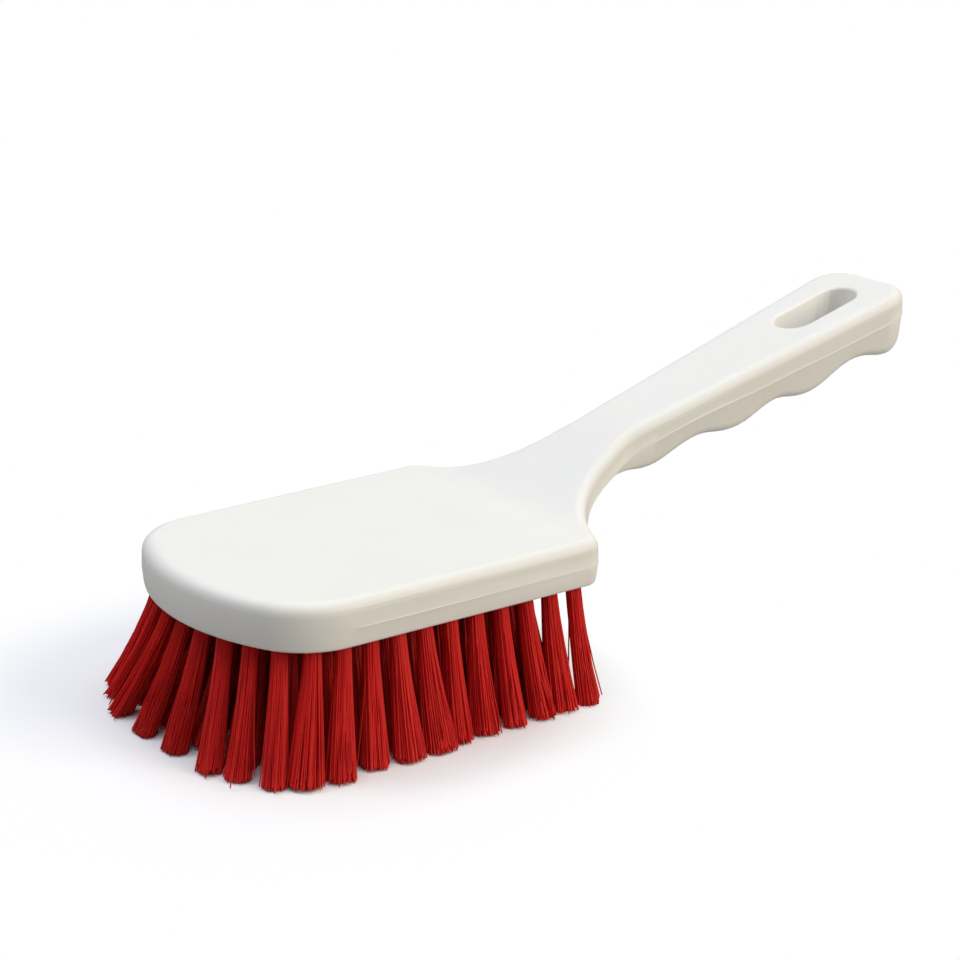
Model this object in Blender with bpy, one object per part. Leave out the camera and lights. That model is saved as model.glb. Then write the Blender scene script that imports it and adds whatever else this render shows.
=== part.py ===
"""Hand scrubbing brush: a white one-piece moulded back with a gripping handle, set with red bristle tufts.

All lengths are in metres. The brush stands on its bristle tips on the plane z = 0, with the handle
running along +X and the toe of the block towards -X. Its pieces are drawn with x = 0 at the toe tip
and y = 0 as the plane of symmetry. An empty then carries them all, so that the middle of the whole
brush comes over the world's origin.
"""

import math

import bmesh
import bpy
from mathutils import Matrix, Vector

# Block, seen from above
BLOCK_LENGTH = 0.1105          # toe tip to the heel corners
TOE_WIDTH = 0.083              # across the sides, just behind the toe corners
HEEL_WIDTH = 0.087             # across the heel corners, before they are rounded
TOE_ARC_RADIUS = 0.064         # the gently curved front edge
TOE_CORNER_RADIUS = 0.022
HEEL_CORNER_RADIUS = 0.0065

# Neck, seen from above, its runs measured from the heel corners
SHOULDER_RUN = 0.0115          # to the place where the shoulders turn into the neck
SHOULDER_WIDTH = 0.0380
SHOULDER_RADIUS = 0.035
WAIST_RUN = 0.0388             # to the narrowest place of the handle
WAIST_WIDTH = 0.0238
WAIST_RADIUS = 0.022

# Handle, seen from above
HANDLE_LENGTH = 0.1545         # heel corners to the end of the handle
HANDLE_END_WIDTH = 0.038
HANDLE_END_RADIUS = 0.010

# Side view, its runs again measured from the heel corners
TRIM = 0.0323                  # free length of the bristles under the block
BLOCK_THICKNESS = 0.0132
RISE_RUN = 0.0015              # to where the top turns upward
RISE_ANGLE = math.radians(23.7)
RISE_RADIUS = 0.030
EASE_RUN = 0.0395              # to where it eases into the slope of the handle
EASE_RADIUS = 0.090
HANDLE_ANGLE = math.radians(14.7)
HEEL_RUN = 0.0025              # to where the underside leaves the level of the block
HEEL_RISE = 0.013              # length over which it climbs to the thin neck

# Finger grips, waves along the underside of the handle
HANDLE_THICKNESS = 0.0145      # between two ridges
GRIP_PITCH = 0.0324
GRIP_DEPTH = 0.0030            # what a ridge adds to it
GRIP_END_GAP = 0.013           # last ridge to the end of the handle
GRIP_RUN = 0.0295              # heel corners to where the handle begins to thicken
GRIP_RISE = 0.024              # length over which it reaches its full thickness

# Edges
TOP_EDGE_RADIUS = 0.0036
BLOCK_EDGE_RADIUS = 0.0011     # lower edge of the block, beside the bristles
GRIP_EDGE_RADIUS = 0.003       # lower edge of the handle, where the fingers lie
PARTING_DEPTH = 0.0077         # top surface to the mould's parting line
PARTING_PROUD = 0.0003
PARTING_HEIGHT = 0.0005
NECK_COVER = 0.0008            # plastic below the parting line along the thin neck
UPPER_DRAFT = 0.00015          # how far the wall leans out, down to the parting line
LOWER_DRAFT = 0.0005           # how far it leans in again below

# Hanging slot through the end of the handle
SLOT_LENGTH = 0.0315
SLOT_WIDTH = 0.013
SLOT_END_GAP = 0.011           # end of the handle to the slot
SLOT_RIM_RADIUS = 0.0009

# Bristle tufts, each set in a hole of its own
ROOT_RADIUS = 0.0021           # the packed root of a tuft
ROOT_DEPTH = 0.008
ROOT_SHOWN = 0.0004            # how far the root stands out of its hole
ROOT_CLEARANCE = 0.0003
STRANDS = 7                    # strands in a tuft, one to each side of its root
STRAND_GAP = 0.0003            # space between two strands at the root
STRAND_TAPER_RATIO = 0.85      # width of a strand's tip beside that of its root
SPREAD_RATIO = 2.1             # how far the strands of a tuft part towards their tips
SPREAD_CHANGE_RATIO = 0.10     # how much that varies from strand to strand
SPREAD_TURN = math.radians(137)     # how the change goes on from strand to strand
SPREAD_SHIFT = math.radians(2300)   # and from tuft to tuft, as their leans differ
LAG_SHARE = 0.43               # share of the sideways travel that a strand has made half way down
FLARE_SIDE = 0.0108            # sideways travel of a tuft, root to tip
FLARE_MIDDLE = 0.015           # distance from the middle within which it is less
FLARE_TOE = 0.0118             # forward travel of the foremost tufts, root to tip
FLARE_REST = 0.003             # forward travel of the rearmost tufts
FLARE_RUN = 0.050              # toe tip to where the tufts begin to lean further forward

# Rows of tufts
OUTER_INSET = 0.0055           # edge of the block to the outer row
OUTER_TUFTS = 30
OUTER_HEEL_GAP = 0.0055        # heel corners to the end of the outer row
SECOND_INSET = 0.0145
SECOND_TUFTS = 22
SECOND_HEEL_GAP = 0.0165
MIDDLE_TUFTS = 7
MIDDLE_TOE_GAP = 0.036         # toe tip to the first tuft of the middle row
MIDDLE_HEEL_GAP = 0.0145

# How finely curves are drawn
CURVE_ERROR = 0.00003          # largest distance of a facet from its arc
LINE_STEP = 0.003              # longest facet along the neck
EDGE_STEPS = 5                 # facets across a rounded edge
GRIP_STEPS = 12                # facets along one finger grip
RIM_STEPS = 3
SLOT_END_STEPS = 12
CUTTER_REACH = 0.001           # how far a cutter runs past the face that it opens

# Materials
PLASTIC_WHITE = (0.86, 0.85, 0.81, 1.0)
BRISTLE_RED = (0.50, 0.008, 0.008, 1.0)


# Curves

def arc(centre, radius, first, last, bulge):
    """Points with outward normals from one angle to another. bulge is 1, or -1 for a hollow curve."""
    facet = 2 * math.acos(1 - min(CURVE_ERROR / radius, 0.5))
    facet = min(facet, LINE_STEP / radius) if bulge < 0 else facet
    count = max(2, math.ceil(abs(last - first) / facet))
    samples = []
    for k in range(count + 1):
        angle = first + (last - first) * k / count
        spoke = Vector((math.cos(angle), math.sin(angle)))
        samples.append((centre + spoke * radius, spoke * bulge))
    return samples


def line(start, end, step):
    """Points with outward normals between two places of the outline, both ends left out."""
    along = end - start
    normal = Vector((-along.y, along.x)).normalized()
    count = max(1, math.ceil(along.length / step))
    return [(start + along * k / count, normal) for k in range(1, count)]


def station(start, end, x):
    """The one place between two others of the outline where it passes a given x, if it does."""
    along = end - start
    share = (x - start.x) / along.x
    return [(start + along * share, Vector((-along.y, along.x)).normalized())] if 0 < share < 1 else []


def rounded(before, corner, after, radius):
    """Arc that rounds a corner of the outline, which runs towards +X with the solid on its right."""
    back = (before - corner).normalized()
    on = (after - corner).normalized()
    half = back.angle(on) / 2
    centre = corner + (back + on).normalized() * (radius / math.sin(half))
    start = corner + back * (radius / math.tan(half))
    end = corner + on * (radius / math.tan(half))
    turn = (start - centre).angle_signed(end - centre)
    first = math.atan2(start.y - centre.y, start.x - centre.x)
    bulge = 1 if turn > 0 else -1
    return arc(centre, radius, first, first - turn, bulge)


# Plan of the back

def toe_outline(side_start, side):
    """The front arc and one rounded toe corner, which ends on the straight side."""
    inward = Vector((side.y, -side.x))
    front = Vector((TOE_ARC_RADIUS, 0))
    start = side_start + inward * TOE_CORNER_RADIUS
    offset = start - front
    along = offset.dot(side)
    rest = offset.length_squared - (TOE_ARC_RADIUS - TOE_CORNER_RADIUS) ** 2
    corner = start - side * (along + math.sqrt(along * along - rest))
    meet = math.atan2(corner.y - front.y, corner.x - front.x)
    end = math.atan2(-inward.y, -inward.x)
    return (arc(front, TOE_ARC_RADIUS, math.pi, meet, 1)
            + arc(corner, TOE_CORNER_RADIUS, meet, end, 1)[1:])


def half_outline():
    """Points and outward normals of the back's outline, from the toe tip to the end of the handle."""
    side_start = Vector((TOE_CORNER_RADIUS, TOE_WIDTH / 2))
    heel = Vector((BLOCK_LENGTH, HEEL_WIDTH / 2))
    shoulder = Vector((BLOCK_LENGTH + SHOULDER_RUN, SHOULDER_WIDTH / 2))
    waist = Vector((BLOCK_LENGTH + WAIST_RUN, WAIST_WIDTH / 2))
    end = BLOCK_LENGTH + HANDLE_LENGTH
    handle_corner = Vector((end, HANDLE_END_WIDTH / 2))
    handle_end = Vector((end, 0))

    toe = toe_outline(side_start, (heel - side_start).normalized())
    heel_curve = rounded(side_start, heel, shoulder, HEEL_CORNER_RADIUS)
    outline = toe + station(toe[-1][0], heel_curve[0][0], level_end()) + heel_curve
    for curve, step in ((rounded(heel, shoulder, waist, SHOULDER_RADIUS), LINE_STEP),
                        (rounded(shoulder, waist, handle_corner, WAIST_RADIUS), LINE_STEP),
                        (rounded(waist, handle_corner, handle_end, HANDLE_END_RADIUS), GRIP_PITCH / GRIP_STEPS)):
        outline += line(outline[-1][0], curve[0][0], step) + curve
    return outline


# Side view of the back

def turn_reach(radius, before, after):
    """How far a rounded turn between two slopes runs to either side of the place where they meet."""
    return radius * math.tan(abs(after - before) / 2)


def level_end():
    """Where the level top of the block ends and the turn up into the neck begins."""
    return BLOCK_LENGTH + RISE_RUN - turn_reach(RISE_RADIUS, 0, RISE_ANGLE)


def slope_start():
    """Where the turn out of the neck has ended and the top of the handle is one plane."""
    return BLOCK_LENGTH + EASE_RUN + turn_reach(EASE_RADIUS, RISE_ANGLE, HANDLE_ANGLE)


def turn_height(x, corner, level, before, after, radius):
    """Height at x of two slopes with a rounded turn between them."""
    reach = turn_reach(radius, before, after)
    side = 1 if after > before else -1
    start = corner - reach * math.cos(before)
    end = corner + reach * math.cos(after)
    if x <= start:
        return level + (x - corner) * math.tan(before)
    if x >= end:
        return level + (x - corner) * math.tan(after)
    middle = start - side * radius * math.sin(before)
    bottom = level - reach * math.sin(before) + side * radius * math.cos(before)
    return bottom - side * math.sqrt(radius ** 2 - (x - middle) ** 2)


def top_height(x):
    """Height of the top surface at a distance from the toe tip."""
    rise = BLOCK_LENGTH + RISE_RUN
    ease = BLOCK_LENGTH + EASE_RUN
    level = TRIM + BLOCK_THICKNESS
    if x < (rise + ease) / 2:
        return turn_height(x, rise, level, 0, RISE_ANGLE, RISE_RADIUS)
    level += (ease - rise) * math.tan(RISE_ANGLE)
    return turn_height(x, ease, level, RISE_ANGLE, HANDLE_ANGLE, EASE_RADIUS)


def eased(x, start, run):
    """Share from 0 to 1 of a change that starts at a distance from the heel corners and ends softly."""
    share = min(1, max(0, (x - BLOCK_LENGTH - start) / run))
    return 0.5 - 0.5 * math.cos(math.pi * share)


def blend(first, second, share):
    """Value between two others."""
    return first + (second - first) * share


def underside_height(x):
    """Height of the underside: level under the block, close to the top along the neck, then waved."""
    last_ridge = BLOCK_LENGTH + HANDLE_LENGTH - GRIP_END_GAP
    wave = 0.5 + 0.5 * math.cos(2 * math.pi * (x - last_ridge) / GRIP_PITCH)
    neck = PARTING_DEPTH + PARTING_HEIGHT / 2 + NECK_COVER
    thickness = blend(neck, HANDLE_THICKNESS + GRIP_DEPTH * wave, eased(x, GRIP_RUN, GRIP_RISE))
    return blend(TRIM, top_height(x) - thickness, eased(x, HEEL_RUN, HEEL_RISE))


def lower_edge_radius(x):
    """Rounding of the lower edge: small on the block and the neck, large under the fingers."""
    radius = blend(BLOCK_EDGE_RADIUS, 0.6 * NECK_COVER, eased(x, HEEL_RUN, HEEL_RISE))
    return blend(radius, GRIP_EDGE_RADIUS, eased(x, GRIP_RUN, GRIP_RISE))


# Back

def edge_levels():
    """Rings round the back, from its top to its underside, each as how far in it lies and its height."""
    rings = []
    for k in range(EDGE_STEPS + 1):
        bend = math.pi / 2 * k / EDGE_STEPS
        inset = UPPER_DRAFT + TOP_EDGE_RADIUS * (1 - math.sin(bend))
        drop = TOP_EDGE_RADIUS * (1 - math.cos(bend))
        rings.append((lambda x, d=inset: d, lambda x, d=drop: top_height(x) - d))
    for out, lift in ((0, 0.5), (PARTING_PROUD, 0), (0, -0.5)):
        drop = PARTING_DEPTH - PARTING_HEIGHT * lift
        rings.append((lambda x, d=-out: d, lambda x, d=drop: top_height(x) - d))
    for k in range(EDGE_STEPS, -1, -1):
        bend = math.pi / 2 * k / EDGE_STEPS
        rings.append((lambda x, s=1 - math.sin(bend): LOWER_DRAFT + lower_edge_radius(x) * s,
                      lambda x, s=1 - math.cos(bend): underside_height(x) + lower_edge_radius(x) * s))
    return rings


def ring_points(outline, inset, height):
    """One ring of the back, its y >= 0 half first and then the mirrored half on the way back."""
    half = []
    for point, normal in outline:
        place = point - normal * inset(point.x)
        half.append(Vector((place.x, place.y, height(place.x))))
    return half + [Vector((p.x, -p.y, p.z)) for p in half[:0:-1]]


def join_rings(mesh, rings):
    """Band of faces between each ring of vertices and the next."""
    for upper, lower in zip(rings, rings[1:]):
        for k in range(len(upper)):
            mesh.faces.new((upper[k - 1], upper[k], lower[k], lower[k - 1]))


def close_ring(mesh, ring, planes):
    """Cap made of strips across the back, with a single face where it lies in one of the planes."""
    last = len(ring) // 2
    k = 0
    while k < last:
        stop = k + 1
        for low, high in planes:
            while low <= ring[k].co.x and stop < last and ring[stop + 1].co.x <= high + CURVE_ERROR:
                stop += 1
        near = [ring[-j % len(ring)] for j in range(stop, k - 1, -1)]
        mesh.faces.new(list(dict.fromkeys(ring[k:stop + 1] + near)))
        k = stop


def make_back(material):
    """The moulded back in one piece, with its holes and its slot cut by modifiers."""
    mesh = bmesh.new()
    outline = half_outline()
    rings = []
    for inset, height in edge_levels():
        rings.append([mesh.verts.new(p) for p in ring_points(outline, inset, height)])
    join_rings(mesh, rings)
    close_ring(mesh, rings[0], [(0, level_end()), (slope_start(), BLOCK_LENGTH + HANDLE_LENGTH)])
    close_ring(mesh, rings[-1], [(0, level_end())])
    bmesh.ops.recalc_face_normals(mesh, faces=mesh.faces)
    return finish(mesh, "brush_back", material, smooth=True)


# Bristle tufts

def lean_at(x, y):
    """Sideways travel of a tuft's tips from a root at x, y: the whole field of bristles fans out."""
    back = min(1, (x - OUTER_INSET) / (FLARE_RUN - OUTER_INSET))
    forward = blend(FLARE_REST, FLARE_TOE, 0.5 + 0.5 * math.cos(math.pi * back))
    sideways = max(-1, min(1, y / FLARE_MIDDLE))
    return Vector((-forward, FLARE_SIDE * sideways, 0))


def axis_point(lean, z):
    """Place of a tuft's middle at a height z above or below the mouth of its hole."""
    return lean * (-z / TRIM) + Vector((0, 0, z))


def root_ring(mesh, lean, z, radius):
    """Ring of vertices round a tuft's middle."""
    ring = []
    for k in range(STRANDS):
        angle = 2 * math.pi * k / STRANDS
        spoke = Vector((math.cos(angle), math.sin(angle), 0)) * radius
        ring.append(mesh.verts.new(axis_point(lean, z) + spoke))
    return ring


def pull_strands(mesh, strands, roots, lean, z, share):
    """Draw each strand on to a height z, where it has made its share of the way outward."""
    drawn = bmesh.ops.extrude_discrete_faces(mesh, faces=strands)["faces"]
    middle = axis_point(lean, 0) + lean * share + Vector((0, 0, z))
    for k, face in enumerate(drawn):
        change = math.sin(SPREAD_TURN * k + SPREAD_SHIFT * lean.length / TRIM)
        spread = SPREAD_RATIO * (1 + SPREAD_CHANGE_RATIO * change)
        away = roots[k][0] * (1 + (spread - 1) * share)
        width = 1 + (STRAND_TAPER_RATIO - 1) * (-z / TRIM)
        for vert, corner in zip(face.verts, roots[k][1]):
            vert.co = middle + away + corner * width
    return drawn


def make_tuft(name, place, material):
    """One tuft: its packed root, and the strands that leave it and part on their way down."""
    lean = lean_at(place.x, place.y)
    mesh = bmesh.new()
    top = root_ring(mesh, lean, ROOT_DEPTH, ROOT_RADIUS)
    low = root_ring(mesh, lean, -ROOT_SHOWN, ROOT_RADIUS)
    join_rings(mesh, [top, low])
    mesh.faces.new(top)
    hub = mesh.verts.new(axis_point(lean, -ROOT_SHOWN))
    strands = [mesh.faces.new((low[k - 1], low[k], hub)) for k in range(STRANDS)]
    bmesh.ops.recalc_face_normals(mesh, faces=mesh.faces)
    bmesh.ops.inset_individual(mesh, faces=strands, thickness=STRAND_GAP / 2, use_even_offset=True)
    roots = []
    for face in strands:
        away = face.calc_center_median() - hub.co
        roots.append((away, [vert.co - face.calc_center_median() for vert in face.verts]))
    for z, share in ((-TRIM / 2, LAG_SHARE), (-TRIM, 1)):
        strands = pull_strands(mesh, strands, roots, lean, z, share)
    tuft = finish(mesh, name, material, smooth=False)
    tuft.location = (place.x, place.y, TRIM)
    return tuft


def half_row(inset, count, heel_gap):
    """Places of half a row of tufts, at even steps along the block's outline drawn in by the inset."""
    path = []
    for point, normal in half_outline():
        place = point - normal * inset
        if place.x > BLOCK_LENGTH - heel_gap:
            break
        path.append(place)
    slope = (HEEL_WIDTH - TOE_WIDTH) / 2 / (BLOCK_LENGTH - TOE_CORNER_RADIUS)
    left = BLOCK_LENGTH - heel_gap - path[-1].x
    path.append(path[-1] + Vector((left, left * slope)))
    lengths = [(b - a).length for a, b in zip(path, path[1:])]
    step = sum(lengths) / (count - 0.5)
    places = []
    for k in range(count):
        way = (k + 0.5) * step
        j = 0
        while j < len(lengths) - 1 and way > lengths[j]:
            way -= lengths[j]
            j += 1
        places.append(path[j] + (path[j + 1] - path[j]) * (way / lengths[j]))
    return places


def tuft_places():
    """Name and plan place of every tuft."""
    places = []
    for row, inset, count, gap in (("outer", OUTER_INSET, OUTER_TUFTS, OUTER_HEEL_GAP),
                                   ("second", SECOND_INSET, SECOND_TUFTS, SECOND_HEEL_GAP)):
        half = half_row(inset, count // 2, gap)
        both = half + [Vector((p.x, -p.y)) for p in half]
        places += [(f"{row}_tuft_{k + 1:02d}", place) for k, place in enumerate(both)]
    run = BLOCK_LENGTH - MIDDLE_HEEL_GAP - MIDDLE_TOE_GAP
    for k in range(MIDDLE_TUFTS):
        x = MIDDLE_TOE_GAP + run * k / (MIDDLE_TUFTS - 1)
        places.append((f"middle_tuft_{k + 1:02d}", Vector((x, 0))))
    return places


# Cutters

def make_hole_cutter(places):
    """All the holes for the tufts, each a clearance wider and deeper than its root."""
    mesh = bmesh.new()
    radius = ROOT_RADIUS + ROOT_CLEARANCE / math.cos(math.pi / STRANDS)
    for _, place in places:
        lean = lean_at(place.x, place.y)
        rings = [root_ring(mesh, lean, z, radius) for z in (ROOT_DEPTH + ROOT_CLEARANCE, -CUTTER_REACH)]
        join_rings(mesh, rings)
        mesh.faces.new(rings[0])
        mesh.faces.new(rings[1])
        shift = Matrix.Translation((place.x, place.y, TRIM))
        bmesh.ops.transform(mesh, matrix=shift, verts=rings[0] + rings[1])
    bmesh.ops.recalc_face_normals(mesh, faces=mesh.faces)
    return finish(mesh, "bristle_holes", None, smooth=False)


def slot_outline(grow):
    """Plan points of the slot, grown by a width all round."""
    end = BLOCK_LENGTH + HANDLE_LENGTH - SLOT_END_GAP
    radius = SLOT_WIDTH / 2
    points = []
    for x, first in ((end - radius, -math.pi / 2), (end - SLOT_LENGTH + radius, math.pi / 2)):
        for k in range(SLOT_END_STEPS + 1):
            angle = first + math.pi * k / SLOT_END_STEPS
            points.append((x + (radius + grow) * math.cos(angle), (radius + grow) * math.sin(angle)))
    return points


def make_slot_cutter():
    """The slot runs straight down, as the mould opens, and flares where its upper rim is rounded."""
    levels = []
    for k in range(RIM_STEPS + 1):
        bend = math.pi / 2 * k / RIM_STEPS
        levels.append(Vector((SLOT_RIM_RADIUS * (1 - math.sin(bend)), -SLOT_RIM_RADIUS * (1 - math.cos(bend)))))
    levels[0] += (levels[0] - levels[1]).normalized() * CUTTER_REACH
    levels.append(Vector((0, -HANDLE_THICKNESS - GRIP_DEPTH - CUTTER_REACH)))
    mesh = bmesh.new()
    rings = []
    for grow, lift in levels:
        rings.append([mesh.verts.new((x, y, top_height(x) + lift)) for x, y in slot_outline(grow)])
    join_rings(mesh, rings)
    mesh.faces.new(rings[0])
    mesh.faces.new(rings[-1])
    bmesh.ops.recalc_face_normals(mesh, faces=mesh.faces)
    return finish(mesh, "hanging_slot", None, smooth=False)


def cut(target, cutter):
    """Cut one object out of another, leaving the cutter as a guide that isn't part of the brush."""
    cutter.hide_render = True
    cutter.display_type = "WIRE"
    modifier = target.modifiers.new(cutter.name, "BOOLEAN")
    modifier.operation = "DIFFERENCE"
    modifier.solver = "EXACT"
    modifier.object = cutter


# Objects

def plastic(name, colour, roughness):
    """Plain plastic in one colour."""
    material = bpy.data.materials.new(name)
    material.use_nodes = True
    shader = material.node_tree.nodes["Principled BSDF"]
    shader.inputs["Base Color"].default_value = colour
    shader.inputs["Roughness"].default_value = roughness
    shader.inputs["Metallic"].default_value = 0.0
    material.diffuse_color = colour
    return material


def finish(mesh, name, material, smooth):
    """Turn a drawn mesh into an object of the scene."""
    data = bpy.data.meshes.new(name)
    mesh.to_mesh(data)
    mesh.free()
    if material:
        data.materials.append(material)
    if smooth:
        data.shade_smooth()
        data.set_sharp_from_angle(angle=math.radians(35))
    made = bpy.data.objects.new(name, data)
    bpy.context.scene.collection.objects.link(made)
    return made


def centre_over_origin(pieces):
    """Carry the pieces on an empty, with the middle of the whole brush over the world's origin."""
    bpy.context.view_layer.update()
    reach = [(piece.matrix_world @ vert.co).x for piece in pieces for vert in piece.data.vertices]
    stand = bpy.data.objects.new("brush", None)
    bpy.context.scene.collection.objects.link(stand)
    stand.location.x = -(min(reach) + max(reach)) / 2
    for piece in bpy.context.scene.objects:
        if piece is not stand:
            piece.parent = stand


def main():
    for old in list(bpy.data.objects):
        bpy.data.objects.remove(old)
    white = plastic("white_plastic", PLASTIC_WHITE, 0.42)
    red = plastic("red_bristle", BRISTLE_RED, 0.5)
    places = tuft_places()
    back = make_back(white)
    cut(back, make_hole_cutter(places))
    cut(back, make_slot_cutter())
    tufts = [make_tuft(name, place, red) for name, place in places]
    centre_over_origin([back] + tufts)


main()
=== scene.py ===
import bisect
import math
import random

import bmesh
import bpy
from bpy.props import FloatProperty, FloatVectorProperty, IntProperty, PointerProperty
from mathutils import Matrix, Vector


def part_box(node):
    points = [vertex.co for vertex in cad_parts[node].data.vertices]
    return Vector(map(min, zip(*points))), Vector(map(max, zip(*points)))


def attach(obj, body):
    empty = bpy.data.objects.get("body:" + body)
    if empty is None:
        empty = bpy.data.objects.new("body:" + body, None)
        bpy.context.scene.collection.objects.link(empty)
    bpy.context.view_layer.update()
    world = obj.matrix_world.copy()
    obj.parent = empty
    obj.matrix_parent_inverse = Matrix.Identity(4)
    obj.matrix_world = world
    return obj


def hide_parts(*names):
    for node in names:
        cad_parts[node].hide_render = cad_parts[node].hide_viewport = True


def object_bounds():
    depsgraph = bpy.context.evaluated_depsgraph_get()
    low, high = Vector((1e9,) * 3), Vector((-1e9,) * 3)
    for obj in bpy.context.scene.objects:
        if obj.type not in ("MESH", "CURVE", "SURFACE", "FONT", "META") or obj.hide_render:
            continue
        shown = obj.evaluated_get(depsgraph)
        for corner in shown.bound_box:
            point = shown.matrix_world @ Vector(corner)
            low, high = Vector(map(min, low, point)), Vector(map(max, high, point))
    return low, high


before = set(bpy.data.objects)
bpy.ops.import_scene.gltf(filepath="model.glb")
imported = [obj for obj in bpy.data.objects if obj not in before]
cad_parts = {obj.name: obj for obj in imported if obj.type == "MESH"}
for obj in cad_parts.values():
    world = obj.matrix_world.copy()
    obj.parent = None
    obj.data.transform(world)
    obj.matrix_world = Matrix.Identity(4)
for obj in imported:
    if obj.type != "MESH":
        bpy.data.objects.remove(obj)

bl_info = {
    "name": "Hand brush",
    "version": (1, 0, 0),
    "blender": (4, 5, 0),
    "location": "3D View > Sidebar > Hand brush",
    "description": "Finishes a hand scrubbing brush: moulded back, bristle tufts and studio",
    "category": "Object",
}

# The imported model: its box, the toe tip's place along the brush and the nodes of each row of tufts
SOLID_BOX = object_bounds()
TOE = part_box("brush_back")[0].x
ROWS = {row: [name for name in sorted(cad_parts) if name.startswith(row)]
        for row in ("outer", "second", "middle")}

# Height of the block's underside over the floor
UNDERSIDE = 0.0323

# Millimetres in a metre
MILLIMETRES = 1000

# Where the photograph's handle departs from the solid's: distance from the toe tip, lift of the
# parting ridge and lift of the underside, in millimetres
HANDLE_LIFTS = (
    (127, 0.0, 0.0), (135, 0.0, 0.8), (141, 0.0, 0.2), (147, 0.2, -0.6),
    (160, 0.8, 1.1), (168, 1.3, 0.7), (181, 1.7, 2.4), (199, 1.3, -1.2),
    (211, 0.7, 0.6), (229, 0.0, -1.4), (246, 0.0, 0.8), (258, 0.0, -1.7),
)

# How many cuts cross the block's walls where the parting ridge comes to show
RIDGE_CUTS = 4

# Walls of the slot that face the toe, with less than this of their normal along the brush, get no
# painted highlight and keep the body's colour
SLOT_TURN = -0.6

# How the outer tufts that the photograph shows stand, by their number: how far their tips stray
# along and across the brush, in millimetres, and their width at the tips beside that at the root
SHOWN = {
    1: (-1.6, -1.0, 1.45), 2: (-0.4, 0.2, 1.45), 3: (2.6, 1.3, 1.35), 4: (2.4, 0.8, 1.25),
    5: (1.6, 0.0, 1.3), 16: (-0.6, -0.5, 1.55), 17: (-1.2, -2.2, 1.45), 18: (-0.4, -0.4, 1.36),
    19: (0.2, -2.2, 1.36), 20: (-0.6, -0.4, 2.35), 21: (-1.7, -1.5, 1.75), 22: (-1.0, 0.3, 1.60),
    23: (-1.3, -1.2, 1.65), 24: (-0.1, -1.5, 1.80), 25: (-0.6, 0.8, 1.50), 26: (-0.1, 1.2, 1.75),
    27: (1.0, 0.5, 1.35), 28: (2.2, 0.1, 1.50), 29: (1.1, 1.2, 1.90), 30: (0.7, -0.1, 1.20),
}

# Seeds for how the tufts of each row stray
STRAY_SEEDS = {"outer": 3, "second": 5, "inner": 8}

# A tuft solid's end faces are looked for within this of its top and of its foot
END_REACH = 0.0001

# The rows between the second and the middle one: toe tip to their first tuft, how much later the
# third row starts, how many tufts they have, and the power of the distance by which the packed
# tufts guide their lean
INNER_START = 0.0255
THIRD_SHIFT = 0.003
THIRD_TUFTS = FOURTH_TUFTS = 8
GUIDE_POWER = -4

# Where a tuft's filaments stand: the turn from each to the next, the turn from tuft to tuft, how
# far chance turns them, all in radians, and the power of their number that gives their distance
# from the tuft's middle
GOLDEN_TURN = 2.399963
TUFT_TURN = 1.7
CHANCE_TURN = 0.5
SPREAD_POWER = 0.40

# How they end: the power of chance that makes a few short, their least height over the floor, how
# much wilder the wildest stray, the power of chance that makes them few, and the power of the
# distance from the mouth that bends a straying filament
SHORT_POWER = 2.4
TIP_HEIGHT = 0.0001
WILD_REACH = 4
WILD_POWER = 30.0
STRAY_POWER = 1.6

# Points along a filament
LINE_POINTS = 5

# The camera that the photograph's outlines fit: its place from the toe tip, which way it looks, and
# its turn about that, in degrees
CAMERA_PLACE = (-0.29612, -0.48436, 0.25682)
CAMERA_LOOK = (0.6040, 0.7345, -0.3093)
CAMERA_ROLL = 1.427

# Half the floor's width, and the point that the lamps face
FLOOR_REACH = 6.0
LAMP_TARGET = (0, 0, 0.04)

WHITE = (1, 1, 1, 1)


# Settings

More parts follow.
